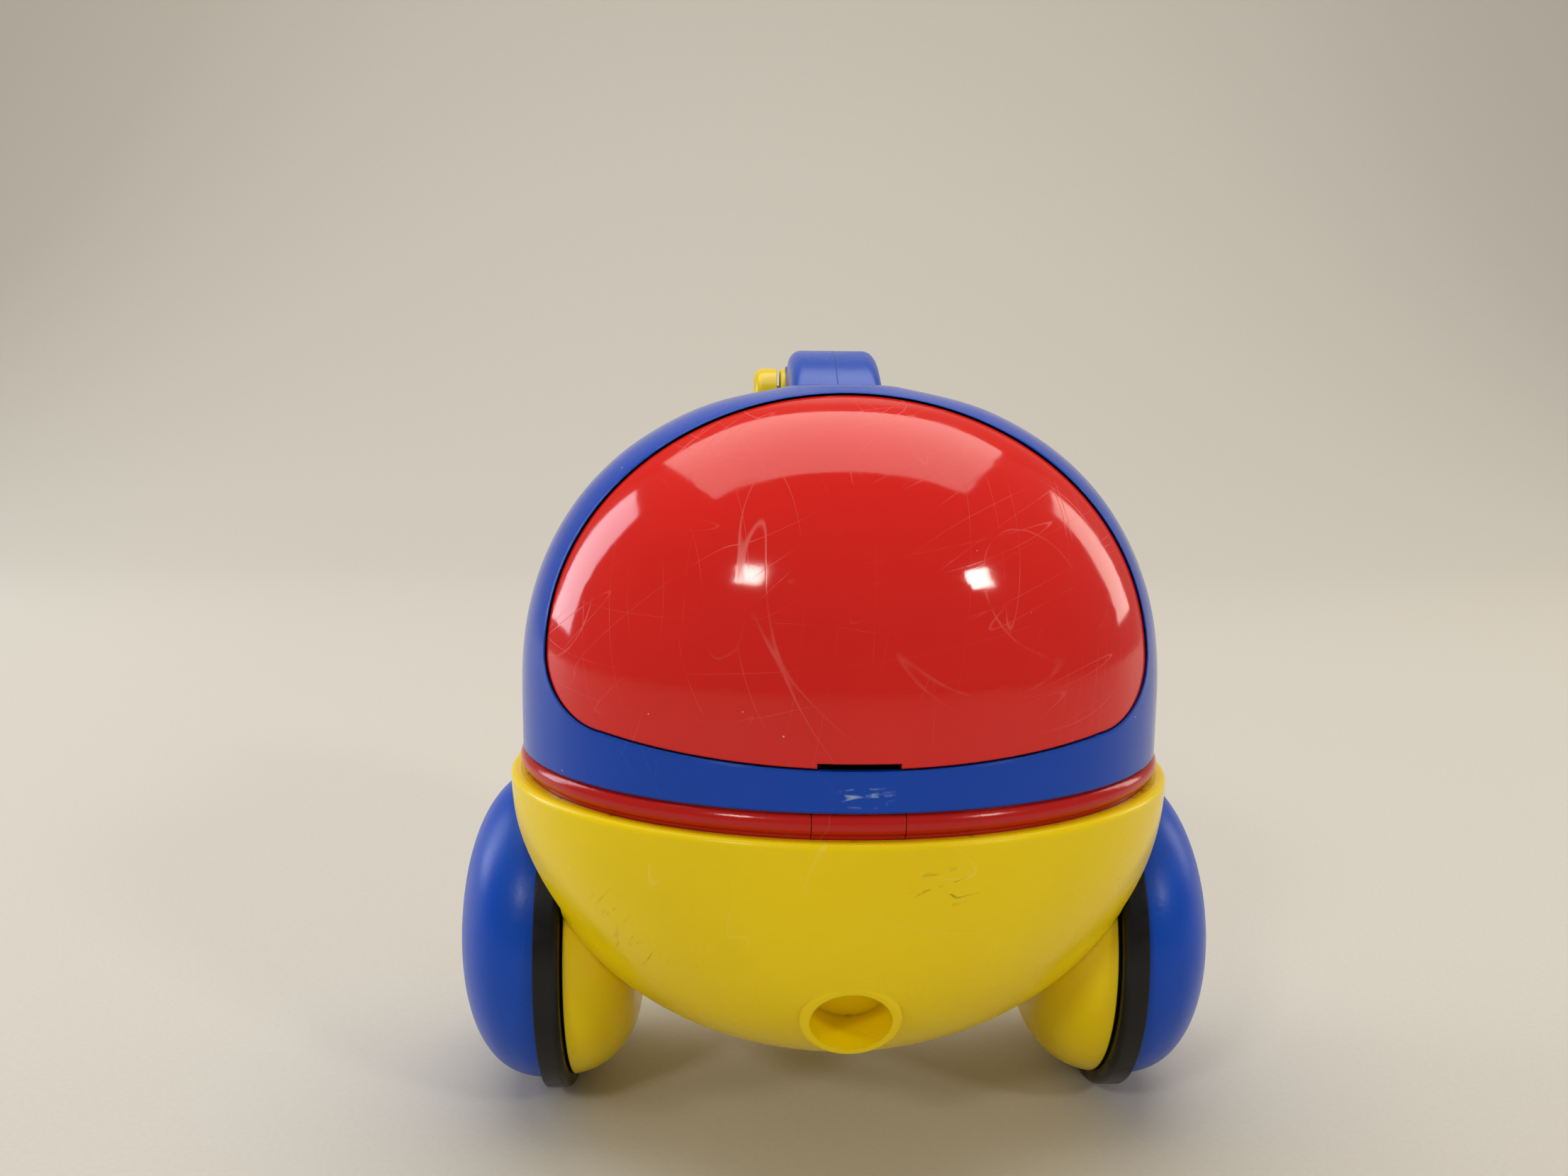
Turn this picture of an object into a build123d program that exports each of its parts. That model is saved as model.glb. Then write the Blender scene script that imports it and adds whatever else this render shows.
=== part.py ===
# Push-along toy: a round body with a red dome in a blue upper shell, a yellow hull,
# two large side wheels, a swivelling rear caster and a carrying handle with a side knob.
# Millimetres. The front faces -Y, up is +Z, the floor is z = 0.

import os
from math import acos, asin, cos, degrees, radians, sin

from build123d import *

# Body. Its plan is half a circle behind bodyY and half an ellipse in front of it.
bodyY = -20.3           # the body's widest section
halfWidth = 78.0        # upper shell
frontReach = 63.0       # upper shell, ahead of bodyY
wall = 2.4
seatZ = 95.5            # lower edge of the upper shell
shoulderZ = 109.0       # top of its upright side
crownZ = 182.5
crownPower = 2.2        # 2 is an ellipse, more is squarer

# Hull
hullStep = 3.0          # hull lip outside the upper shell
lipZ = 89.6
lipBandDepth = 1.6
lipFlangeDepth = 3.1
lipFlangeWidth = 8.5
lipRound = 1.2
hullDepth = 69.6        # of its elliptical section below the lip band
keelZ = 21.0            # flat underside

# Trim ring between hull and upper shell
beadRadius = 2.4
beadProud = 0.6         # outside the upper shell
beadStep = 0.8          # upright step below the bead
beadNeckProud = 0.8
ringNeckWidth = 4.0
clipWidth = 19.3
clipGap = 0.12

# Dome opening, seen from the front
archHalfWidth = 68.5
archBaseZ = 122.0
archHeight = 58.3
openingCornerRadius = 14.5
openingSillZ = 104.2
domeGap = 0.45
domeInset = 0.5
domeWall = 2.9          # reaches behind the front of its flange
domeFlangeWidth = 5.0
domeFlangeWall = 1.6
domeFlangeGap = 0.25
slotWidth = 17.2
slotHeight = 1.1

# Wheels
axleY = bodyY + 12.0
tyreRadius = 42.6
tyreWidth = 5.9
tyreDepth = 4.1
tyreRound = 1.6
rimX = 72.5             # inner edge of the blue rim
rimRadius = 40.0
wheelDomeDepth = 23.0
wheelPower = 2.45
wheelWall = 2.6
hubRadius = 6.5
plateWall = 1.8
axleRadius = 2.5
axleChamfer = 0.5
axleEndCover = 7.0       # from the axle's end to the wheel's outermost point
runningGap = 0.05
bushRadius = 4.5
bushFlangeRadius = 7.0
bushFlangeWall = 1.6
bushLength = 9.6
hubGap = 0.4

# Wheel fairings of the hull
mouthX = 66.0
mouthRadius = 39.3
fairingDepth = 15.5
fairingEndRadius = 22.0
fairingBulge = 4.2
wellGap = 1.8
bushBossRadius = 7.5

# Socket in the hull's nose
socketRadius = 9.0
socketRimRadius = 11.3
socketDepth = 9.0
socketZ = 45.7
socketTilt = 25.0
socketProud = 1.2
socketRimRound = 1.0

# Rear caster
casterY = bodyY + 56.0
casterPadZ = 24.0
casterPadRadius = 9.5
casterStemRadius = 4.0
casterBossTop = 49.0
casterStemTop = 52.5
casterWheelRadius = 8.5
casterWheelWidth = 9.0
casterTrail = 6.5
casterForkWall = 2.2
casterPinRadius = 1.5
casterGap = 0.3
casterWheelRound = 1.5
forkRoof = 3.6           # from the caster wheel's top to the fork's bridge
forkEyeRadius = 3.6
clipWall = 0.8
clipBite = 1.0
clipReach = 2.0          # outside its shaft
stemChamfer = 0.5

# Handle
handleWidth = 23.5
handleRound = 3.5
handleY = bodyY + 48.0
handleZ = 130.0
handleReach = 58.0
handleRise = 62.3
handleBand = 16.0
handleFootZ = 97.5
handleFootAngle = -20.0  # where the inner edge leaves the foot
handleInnerEnd = 112.0
handleFrontAngle = 130.0
handleRootZ = 165.0
handleFootY = bodyY + 60.0
handleFootInset = 8.0
handleWall = 2.4
handleFit = 0.15
frontFootScrewY = bodyY + 26.0
rearFootScrewZ = 105.0
frontFootScrewLength = 7.5
rearFootScrewLength = 10.0
footBossRadius = 3.9
footBossRise = 3.0
footSeatDrop = 1.2
handleScrewAngles = (-12.0, 24.0, 92.0)
handleScrewLength = 14.0

# Knob
knobAngle = 56.0
knobRadius = 13.0
knobThickness = 6.8
knobRound = 2.8
knobGap = 1.0
knobBaseThickness = 1.7
knobPadRadius = 13.6
knobShaftRadius = 3.5
knobShaftEnd = 3.0      # how far past the handle's side wall the shaft runs
knobNeckRadius = 8.0
knobDimpleRadius = 1.2
knobDimpleOut = 7.0
knobDimpleDepth = 0.6

# Screws
screwRadius = 1.5
screwHeadRadius = 2.9
screwHeadHeight = 2.0
bossRadius = 4.6
screwGap = 0.2
screwHeadRound = 0.8
screwTipChamfer = 0.75
crossLength = 3.2
crossWidth = 0.6
crossDepth = 1.0
bodyScrewAngle = 30.0
bodyScrewReach = 66.0
bodyScrewSeat = 8.0      # depth of the head's seat below the lip
bodyScrewLength = 18.0
postTop = 112.0
hookX = 30.0
hookWidth = 8.0
hookGap = 0.3
hookBarb = 1.8
hookBarbZ = 84.2
hookRoot = 3.2
hookBridge = 6.5

# Clicker on the axle
clickTeeth = 12
clickTipRadius = 14.0
clickRootRadius = 11.0
clickWidth = 5.0
clickHubRadius = 5.0
toothTipAt = 0.8         # along the pitch
toothFootAt = 0.9
reedThickness = 0.8
reedWidth = 8.0
reedGap = 0.5
reedPostDepth = 16.0    # from the axle to the post's face
reedPostWidth = 4.5
reedPostTop = 37.0
reedScrewLength = 6.0

# Balance weight
weightLength = 46.0
weightWidth = 14.0
weightHeight = 9.0
weightCornerRound = 4.8
weightY = bodyY + 38.0
weightZ = 38.0
weightScrewX = 15.0
weightScrewLength = 14.0

# Worked out
frontScale = frontReach / halfWidth
hullHalfWidth = halfWidth + hullStep
hullCentreZ = lipZ - lipBandDepth
crownRise = crownZ - shoulderZ
axleHalfLength = rimX + wheelDomeDepth - axleEndCover
knobY = handleY + (handleReach - handleBand / 2) * cos(radians(knobAngle))
knobZ = handleZ + (handleRise - handleBand / 2) * sin(radians(knobAngle))
handleSideX = handleWidth / 2
large = 400.0

os.makedirs("parts", exist_ok=True)


def save(builder, name, colour):
    builder.part.label = name
    builder.part.color = Color(colour)
    export_step(builder.part, f"parts/{name}.step")


def superCurve(across, rise, power, steps=9):
    # Points of a quarter superellipse from (across, 0) to (0, rise).
    angles = [radians(90 * i / steps) for i in range(1, steps)]
    between = [(across * cos(a) ** (2 / power), rise * sin(a) ** (2 / power)) for a in angles]
    return [(across, 0.0), *between, (0.0, rise)]


def rearTurned(section):
    # A half section in the XZ plane turned half a circle behind the origin.
    return revolve(section, Axis.Z, revolution_arc=180, mode=Mode.PRIVATE)


def frontTurned(section):
    return mirror(rearTurned(section), about=Plane.XZ, mode=Mode.PRIVATE)


def shortened(shape):
    # The front half is shorter than it is wide.
    return scale(shape, by=(1, frontScale, 1), mode=Mode.PRIVATE)


def bodyTurned(section):
    return Pos(0, bodyY, 0) * (rearTurned(section) + shortened(frontTurned(section)))


def shellSection(outside, inside):
    # Section of the upper shell's skin between two depths below its outer surface.
    curves = [
        [(x, shoulderZ + z) for x, z in superCurve(halfWidth - depth, crownRise - depth, crownPower)]
        for depth in (outside, inside)
    ]
    with BuildSketch(Plane.XZ) as section:
        with BuildLine():
            outer = Spline(*curves[0], tangents=((0, 1), (-1, 0)))
            inner = Spline(*curves[1], tangents=((0, 1), (-1, 0)))
            Line(outer @ 1, inner @ 1)
            Polyline(outer @ 0, (halfWidth - outside, seatZ), (halfWidth - inside, seatZ), inner @ 0)
        make_face()
    return section


def openingSketch(margin, plane=Plane.XZ):
    # The dome's D-shaped opening on a plane facing the front, grown by margin.
    with BuildSketch(plane) as outline:
        with BuildLine():
            arch = EllipticalCenterArc((0, archBaseZ), archHalfWidth, archHeight, arc_size=180)
            cornerX = archHalfWidth - openingCornerRadius
            cornerZ = archBaseZ - openingCornerRadius
            dip = openingCornerRadius * (1 - cos(radians(45)))
            ThreePointArc(arch @ 0, (archHalfWidth - dip, cornerZ + dip), (cornerX, cornerZ))
            ThreePointArc((cornerX, cornerZ), (0, openingSillZ), (-cornerX, cornerZ))
            ThreePointArc((-cornerX, cornerZ), (-archHalfWidth + dip, cornerZ + dip), arch @ 1)
        make_face()
        if margin:
            offset(amount=margin, kind=Kind.ARC)
    return outline.sketch


def screw(length):
    # Pan-head screw along +Z, the head's underside at the origin.
    with BuildPart(mode=Mode.PRIVATE) as body:
        Cylinder(screwRadius, length, align=(Align.CENTER, Align.CENTER, Align.MIN))
        with Locations((0, 0, -screwHeadHeight)):
            Cylinder(screwHeadRadius, screwHeadHeight, align=(Align.CENTER, Align.CENTER, Align.MIN))
        fillet(body.edges().filter_by(GeomType.CIRCLE).sort_by(Axis.Z)[0], screwHeadRound)
        chamfer(body.edges().filter_by(GeomType.CIRCLE).sort_by(Axis.Z)[-1], screwTipChamfer)
        with BuildSketch(Plane.XY.offset(-screwHeadHeight)):
            SlotOverall(crossLength, crossWidth)
            SlotOverall(crossLength, crossWidth, rotation=90)
        extrude(amount=crossDepth, mode=Mode.SUBTRACT)
    return body.part


def tube(outer, inner, start, end):
    # Ring about the X axis from start to end.
    with BuildPart(mode=Mode.PRIVATE) as ring:
        with BuildSketch(Plane.YZ.offset(start)):
            Circle(outer)
            if inner:
                Circle(inner, mode=Mode.SUBTRACT)
        extrude(amount=end - start)
    return ring.part


def onAxle(shape, side=1):
    # A shape made about the X axis, moved to the axle, on the right or mirrored to the left.
    placed = Pos(0, axleY, tyreRadius) * shape
    return placed if side > 0 else mirror(placed, about=Plane.YZ, mode=Mode.PRIVATE)


def column(radius, x, y, bottom, top):
    # Upright round post.
    with BuildPart(mode=Mode.PRIVATE) as post:
        with BuildSketch(Plane.XY.offset(bottom)):
            with Locations((x, y)):
                Circle(radius)
        extrude(amount=top - bottom)
    return post.part


def bowlSection(width, depth, floorZ, bandTop):
    # Half of the hull's section: an ellipse cut flat below, with an upright band on top.
    with BuildSketch(Plane.XZ) as section:
        with Locations((0, hullCentreZ)):
            Ellipse(width, depth)
            Rectangle(large, large, align=(Align.CENTER, Align.MIN), mode=Mode.SUBTRACT)
        with Locations((0, floorZ)):
            Rectangle(large, large, align=(Align.CENTER, Align.MAX), mode=Mode.SUBTRACT)
        with Locations((0, hullCentreZ)):
            Rectangle(width, bandTop - hullCentreZ, align=(Align.MIN, Align.MIN))
        Rectangle(large, large, align=(Align.MAX, Align.CENTER), mode=Mode.SUBTRACT)
    return section.sketch


def fairingShape(radius, endRadius, depth):
    # Bell about the X axis, from its mouth inward, with a curved flank.
    endX = mouthX - depth
    chord = Vector(endX - mouthX, endRadius - radius)
    middle = Vector(mouthX, radius) + chord * 0.5 + Vector(chord.Y, -chord.X).normalized() * fairingBulge
    with BuildPart(mode=Mode.PRIVATE) as bell:
        with BuildSketch(Plane.XZ):
            with BuildLine():
                flank = ThreePointArc((mouthX, radius), (middle.X, middle.Y), (endX, endRadius))
                Polyline(flank @ 1, (endX, 0), (mouthX, 0), flank @ 0)
            make_face()
        revolve(axis=Axis.X)
    return bell.part


sides = {"left": -1, "right": 1}
bodyScrewX = bodyScrewReach * sin(radians(bodyScrewAngle))
bodyScrewPlaces = [
    (side * bodyScrewX, bodyY + bodyScrewReach * cos(radians(bodyScrewAngle)))
    for side in sides.values()
]

# Hull: a bowl with a lip, wheel wells inside bell fairings, a nose socket and bosses.
hullOutside = bodyTurned(bowlSection(hullHalfWidth, hullDepth, keelZ, lipZ))
with BuildSketch(Plane.XZ) as hullSection:
    add(bowlSection(hullHalfWidth, hullDepth, keelZ, lipZ))
    fillet(hullSection.vertices().sort_by(Axis.X)[-2:].sort_by(Axis.Z)[-1], lipRound)
    add(
        bowlSection(hullHalfWidth - wall, hullDepth - wall, keelZ + wall, lipZ - lipFlangeDepth),
        mode=Mode.SUBTRACT,
    )
    with Locations((0, hullCentreZ - lipFlangeDepth)):
        Rectangle(hullHalfWidth - lipFlangeWidth, large, align=(Align.MIN, Align.MIN), mode=Mode.SUBTRACT)

socketAxisDown = radians(socketTilt)
socketOut = Vector(0, -cos(socketAxisDown), -sin(socketAxisDown))
socketDrop = (hullCentreZ - socketZ) / hullDepth
socketSurfaceY = bodyY - hullHalfWidth * frontScale * (1 - socketDrop ** 2) ** 0.5
socketMouth = Plane(
    origin=Vector(0, socketSurfaceY, socketZ) + socketOut * socketProud, x_dir=(1, 0, 0), z_dir=socketOut
)
wellRadius = tyreRadius + wellGap
fairingFloorX = mouthX - fairingDepth + wall
bushStartX = fairingFloorX + bushFlangeWall - bushLength

with BuildPart() as socketBoss:
    with BuildSketch(socketMouth):
        Circle(socketRimRadius)
    extrude(amount=-socketDepth - wall)
    fillet(socketBoss.faces().sort_by(Axis(socketMouth.origin, socketOut))[-1].edges(), socketRimRound)

with BuildPart() as hull:
    add(bodyTurned(hullSection.sketch))
    for side in sides.values():
        wellWall = onAxle(tube(wellRadius + wall, 0, mouthX - wall, large), side)
        add(wellWall & hullOutside)
        add(onAxle(fairingShape(mouthRadius, fairingEndRadius, fairingDepth), side))
        add(onAxle(tube(bushBossRadius, 0, bushStartX, mouthX - wall), side))
    add(socketBoss.part)
    for x, y in bodyScrewPlaces:
        add(column(bossRadius, x, y, keelZ, lipZ) & hullOutside)
    add(column(casterPadRadius, 0, casterY, casterPadZ, casterBossTop))
    for side in sides.values():
        add(column(bossRadius, side * weightScrewX, weightY, keelZ, weightZ) & hullOutside)
    with Locations((0, axleY - reedPostDepth, keelZ + wall / 2)):
        postHeight = reedPostTop - keelZ - wall / 2
        Box(reedWidth, reedPostWidth, postHeight, align=(Align.CENTER, Align.MAX, Align.MIN))
    for side in sides.values():
        add(onAxle(tube(wellRadius, 0, mouthX, large), side), mode=Mode.SUBTRACT)
        add(
            onAxle(fairingShape(mouthRadius - wall, fairingEndRadius - wall / 2, fairingDepth - wall), side),
            mode=Mode.SUBTRACT,
        )
        add(onAxle(tube(bushRadius, 0, 0, mouthX), side), mode=Mode.SUBTRACT)
    with BuildSketch(socketMouth):
        Circle(socketRadius)
    extrude(amount=-socketDepth, mode=Mode.SUBTRACT)
    for x, y in bodyScrewPlaces:
        add(column(screwRadius + screwGap, x, y, 0, large), mode=Mode.SUBTRACT)
        add(column(screwHeadRadius + screwGap, x, y, 0, lipZ - bodyScrewSeat), mode=Mode.SUBTRACT)
    add(column(casterStemRadius + runningGap, 0, casterY, 0, large), mode=Mode.SUBTRACT)
    for side in sides.values():
        pilotBottom = weightZ + weightHeight - weightScrewLength - screwGap
        add(column(screwRadius, side * weightScrewX, weightY, pilotBottom, large), mode=Mode.SUBTRACT)
    with BuildSketch(Plane.XZ.offset(reedPostDepth - axleY)):
        with Locations((0, reedPostTop - reedWidth / 2)):
            Circle(screwRadius)
    extrude(amount=reedPostWidth + wall, mode=Mode.SUBTRACT)
save(hull, "hull", "yellow")

# Trim ring: a half-round bead on a neck between the two shells, with a separate front clip.
beadX = halfWidth + beadProud - beadRadius
beadZ = lipZ + beadStep + beadRadius
with BuildSketch(Plane.XZ) as ringSection:
    with Locations((beadX, beadZ)):
        Circle(beadRadius)
    with Locations((beadX, lipZ)):
        Rectangle(ringNeckWidth, seatZ - lipZ, align=(Align.MAX, Align.MIN))
    with Locations((beadX, lipZ)):
        Rectangle(beadNeckProud, seatZ - lipZ, align=(Align.MIN, Align.MIN))
ringWhole = bodyTurned(ringSection.sketch)
with BuildPart() as ring:
    add(ringWhole)
    with Locations((0, bodyY, 0)):
        gapWidth = clipWidth + 2 * clipGap
        Box(gapWidth, large, large, align=(Align.CENTER, Align.MAX, Align.CENTER), mode=Mode.SUBTRACT)
save(ring, "trim_ring", "red")

with BuildPart() as frontClip:
    with Locations((0, bodyY, 0)):
        Box(clipWidth, large, large, align=(Align.CENTER, Align.MAX, Align.CENTER))
    add(ringWhole, mode=Mode.INTERSECT)
save(frontClip, "front_clip", "red")

# Upper shell: the blue skin with the dome opening, hooks in front and screw posts behind.
footScrewX = handleSideX / 2
with BuildPart() as upperShell:
    add(bodyTurned(shellSection(0, wall).sketch))
    extrude(openingSketch(0, Plane.XZ.offset(-bodyY)), amount=large, mode=Mode.SUBTRACT)
    for x, y in bodyScrewPlaces:
        angle = bodyScrewAngle if x > 0 else -bodyScrewAngle
        with Locations(Location((x, y, seatZ + wall), (0, 0, -angle))):
            ribLength = halfWidth - wall / 2 - bodyScrewReach
            Box(wall, ribLength, postTop - seatZ - wall, align=(Align.CENTER, Align.MIN, Align.MIN))
        add(column(bossRadius, x, y, lipZ, postTop))
        add(column(screwRadius, x, y, 0, postTop - wall), mode=Mode.SUBTRACT)
    for side in sides.values():
        hookRadius = beadX - ringNeckWidth
        hookY = bodyY - frontScale * (hookRadius ** 2 - (hookX + hookWidth / 2) ** 2) ** 0.5 + hookGap
        with Locations((side * hookX, hookY, hookBarbZ)):
            Box(hookWidth, wall, seatZ + hookRoot - hookBarbZ, align=(Align.CENTER, Align.MIN, Align.MIN))
            Box(hookWidth, hookBarb, hookBarb, align=(Align.CENTER, Align.MAX, Align.MIN))
        with Locations((side * hookX, hookY + wall, seatZ + wall / 2)):
            Box(hookWidth, hookBridge, hookRoot - wall / 2, align=(Align.CENTER, Align.MAX, Align.MIN))
        footHole = column(screwRadius + screwGap, side * footScrewX, frontFootScrewY, shoulderZ, large)
        add(footHole, mode=Mode.SUBTRACT)
    with BuildSketch(Plane.XZ.offset(-bodyY)):
        with Locations(*[(side * footScrewX, rearFootScrewZ) for side in sides.values()]):
            Circle(screwRadius + screwGap)
    extrude(amount=-large, mode=Mode.SUBTRACT)
save(upperShell, "upper_shell", "blue")


# Dome: a skin in the opening, a flange behind the shell, and a notch in its lower edge.
flangeDepth = wall + domeFlangeGap
with BuildPart() as domeFlange:
    add(frontTurned(shellSection(flangeDepth, flangeDepth + domeFlangeWall).sketch))
    extrude(openingSketch(domeFlangeWidth), amount=large, mode=Mode.INTERSECT)
    extrude(openingSketch(-domeFlangeWidth), amount=large, mode=Mode.SUBTRACT)

with BuildPart() as domeBlank:
    add(frontTurned(shellSection(domeInset, domeInset + domeWall).sketch))
    extrude(openingSketch(-domeGap), amount=large, mode=Mode.INTERSECT)
    add(domeFlange.part)
    with Locations((0, 0, openingSillZ - domeFlangeWidth)):
        notchHeight = domeFlangeWidth + domeGap + slotHeight
        Box(slotWidth, large, notchHeight, align=(Align.CENTER, Align.MAX, Align.MIN), mode=Mode.SUBTRACT)

with BuildPart() as dome:
    add(Pos(0, bodyY, 0) * shortened(domeBlank.part))
save(dome, "dome", "red")

# Wheels: a domed shell with a hub and a drum for the tyre, and a plate that closes the drum.
drumRadius = tyreRadius - tyreDepth
tyreStartX = rimX - tyreWidth
hubStartX = fairingFloorX + bushFlangeWall + hubGap
domeEndX = rimX + wheelDomeDepth


def wheelCurve(inset):
    return [(rimX + x, r) for x, r in superCurve(wheelDomeDepth - inset, rimRadius - inset, wheelPower)]


with BuildPart() as wheel:
    with BuildSketch(Plane.XZ):
        with BuildLine():
            outer = Spline(*wheelCurve(0), tangents=((0, 1), (-1, 0)))
            inner = Spline(*wheelCurve(wheelWall), tangents=((0, 1), (-1, 0)))
            Line(outer @ 0, inner @ 0)
            Line(outer @ 1, inner @ 1)
        make_face()
        with Locations((tyreStartX, drumRadius)):
            Rectangle(rimX - tyreStartX + wheelWall, wheelWall, align=(Align.MIN, Align.MAX))
        with Locations((hubStartX, 0)):
            Rectangle(domeEndX - wheelWall / 2 - hubStartX, hubRadius, align=(Align.MIN, Align.MIN))
        with Locations((hubStartX, 0)):
            boreDepth = axleHalfLength - hubStartX
            Rectangle(boreDepth, axleRadius, align=(Align.MIN, Align.MIN), mode=Mode.SUBTRACT)
    revolve(axis=Axis.X)

with BuildPart() as wheelPlate:
    add(tube(drumRadius - wheelWall, hubRadius, tyreStartX, tyreStartX + plateWall))

with BuildPart() as tyre:
    with BuildSketch(Plane.XZ) as tyreSection:
        with Locations((tyreStartX, drumRadius)):
            Rectangle(tyreWidth, tyreDepth, align=(Align.MIN, Align.MIN))
        fillet(tyreSection.vertices().sort_by(Axis.Z)[-2:], tyreRound)
    revolve(axis=Axis.X)

# Bush: a flanged sleeve pressed into the hull's boss.
with BuildPart() as bush:
    add(tube(bushRadius, axleRadius + runningGap, bushStartX, fairingFloorX))
    add(tube(bushFlangeRadius, axleRadius + runningGap, fairingFloorX, fairingFloorX + bushFlangeWall))

for name, side in sides.items():
    for piece, shape, colour in (
        ("wheel", wheel, "blue"),
        ("wheel_plate", wheelPlate, "blue"),
        ("tyre", tyre, "black"),
        ("bush", bush, "white"),
    ):
        with BuildPart() as placed:
            add(onAxle(shape.part, side))
        save(placed, f"{piece}_{name}", colour)

with BuildPart() as axleRod:
    add(onAxle(tube(axleRadius, 0, -axleHalfLength, axleHalfLength)))
    chamfer(axleRod.edges().filter_by(GeomType.CIRCLE), axleChamfer)
save(axleRod, "axle", "gray")

# Clicker: a saw-toothed wheel pressed on the axle, and a reed on a post of the hull.
with BuildPart() as clickWheel:
    with BuildSketch(Plane.YZ.offset(-clickWidth / 2)):
        pitch = 360 / clickTeeth
        with BuildLine():
            corners = []
            for tooth in range(clickTeeth):
                corners.append(Vector(clickRootRadius, 0).rotate(Axis.Z, tooth * pitch))
                corners.append(Vector(clickTipRadius, 0).rotate(Axis.Z, (tooth + toothTipAt) * pitch))
                corners.append(Vector(clickRootRadius, 0).rotate(Axis.Z, (tooth + toothFootAt) * pitch))
            Polyline(*corners, close=True)
        make_face()
    extrude(amount=clickWidth)
    with BuildSketch(Plane.YZ.offset(-clickWidth)):
        Circle(clickHubRadius)
    extrude(amount=2 * clickWidth)
    with BuildSketch(Plane.YZ.offset(-clickWidth)):
        Circle(axleRadius)
    extrude(amount=2 * clickWidth, mode=Mode.SUBTRACT)
with BuildPart() as clickPlaced:
    add(onAxle(clickWheel.part))
save(clickPlaced, "click_wheel", "white")

reedFrontY = axleY - reedPostDepth
reedTop = tyreRadius + reedWidth / 4
reedScrewZ = reedPostTop - reedWidth / 2
with BuildPart() as reed:
    with Locations((0, reedFrontY, keelZ + 2 * wall)):
        Box(reedWidth, reedThickness, reedTop - keelZ - 2 * wall, align=(Align.CENTER, Align.MIN, Align.MIN))
    with Locations((0, reedFrontY + reedThickness, reedTop)):
        noseLength = reedPostDepth - reedThickness - clickTipRadius - reedGap
        Box(clickWidth, noseLength, reedThickness, align=(Align.CENTER, Align.MIN, Align.MAX))
    with BuildSketch(Plane.XZ.offset(-reedFrontY)):
        with Locations((0, reedScrewZ)):
            Circle(screwRadius + screwGap)
    extrude(amount=-large, mode=Mode.SUBTRACT)
save(reed, "click_reed", "white")

with BuildPart() as reedScrew:
    add(Pos(0, reedFrontY + reedThickness, reedScrewZ) * Rot(90, 0, 0) * screw(reedScrewLength))
save(reedScrew, "reed_screw", "gray")

# Balance weight on two posts behind the axle.
with BuildPart() as weight:
    with Locations((0, weightY, weightZ)):
        Box(weightLength, weightWidth, weightHeight, align=(Align.CENTER, Align.CENTER, Align.MIN))
    fillet(weight.edges().filter_by(Axis.Z), weightCornerRound)
    for side in sides.values():
        add(column(screwRadius + screwGap, side * weightScrewX, weightY, 0, large), mode=Mode.SUBTRACT)
save(weight, "balance_weight", "gray")

with BuildPart() as weightScrews:
    for side in sides.values():
        weightTop = Pos(side * weightScrewX, weightY, weightZ + weightHeight)
        add(weightTop * Rot(180, 0, 0) * screw(weightScrewLength))
save(weightScrews, "weight_screws", "gray")

with BuildPart() as bodyScrews:
    for x, y in bodyScrewPlaces:
        add(Pos(x, y, lipZ - bodyScrewSeat) * screw(bodyScrewLength))
save(bodyScrews, "body_screws", "gray")

# Caster: a fork on a stem held by a clip above the hull's boss, a small wheel and its pin.
casterWheelY = casterY + casterTrail
forkTop = casterPadZ - casterGap
forkBridgeZ = 2 * casterWheelRadius + forkRoof
legInside = casterWheelWidth / 2 + casterGap
pinEnd = legInside + casterForkWall
grooveBottom = casterBossTop + casterGap
with BuildSketch(Plane.YZ) as legOutline:
    with Locations((casterWheelY, casterWheelRadius)):
        Circle(forkEyeRadius)
    with Locations((casterY + casterTrail / 2, forkTop)):
        Rectangle(2 * forkEyeRadius + casterTrail, forkTop - forkBridgeZ, align=(Align.CENTER, Align.MAX))
    make_hull()

with BuildPart() as fork:
    add(column(casterPadRadius - casterGap, 0, casterY, forkBridgeZ, forkTop))
    for side in sides.values():
        add(Pos(side * (legInside + casterForkWall / 2), 0, 0) * extrude(
            legOutline.sketch, amount=casterForkWall / 2, both=True, mode=Mode.PRIVATE
        ))
    with Locations((0, casterY + casterTrail / 2, forkBridgeZ)):
        Box(
            2 * pinEnd, 2 * forkEyeRadius + casterTrail, forkTop - forkBridgeZ,
            align=(Align.CENTER, Align.CENTER, Align.MIN),
        )
    add(column(casterStemRadius, 0, casterY, forkTop, casterStemTop))
    chamfer(fork.edges().filter_by(GeomType.CIRCLE).sort_by(Axis.Z)[-1], stemChamfer)
    add(
        column(2 * casterStemRadius, 0, casterY, grooveBottom, grooveBottom + clipWall)
        - column(casterStemRadius - clipBite, 0, casterY, grooveBottom, grooveBottom + clipWall),
        mode=Mode.SUBTRACT,
    )
    with BuildSketch(Plane.YZ):
        with Locations((casterWheelY, casterWheelRadius)):
            Circle(casterPinRadius)
    extrude(amount=large, both=True, mode=Mode.SUBTRACT)
save(fork, "caster_fork", "blue")

with BuildPart() as casterClip:
    add(
        column(casterStemRadius + clipReach, 0, casterY, grooveBottom, grooveBottom + clipWall)
        - column(casterStemRadius - clipBite, 0, casterY, grooveBottom, grooveBottom + clipWall)
    )
save(casterClip, "caster_clip", "gray")

with BuildPart() as casterWheel:
    with BuildSketch(Plane.YZ.offset(-casterWheelWidth / 2)):
        with Locations((casterWheelY, casterWheelRadius)):
            Circle(casterWheelRadius)
            Circle(casterPinRadius + runningGap, mode=Mode.SUBTRACT)
    extrude(amount=casterWheelWidth)
    fillet(casterWheel.edges().group_by(SortBy.LENGTH)[-1], casterWheelRound)
save(casterWheel, "caster_wheel", "black")

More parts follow.
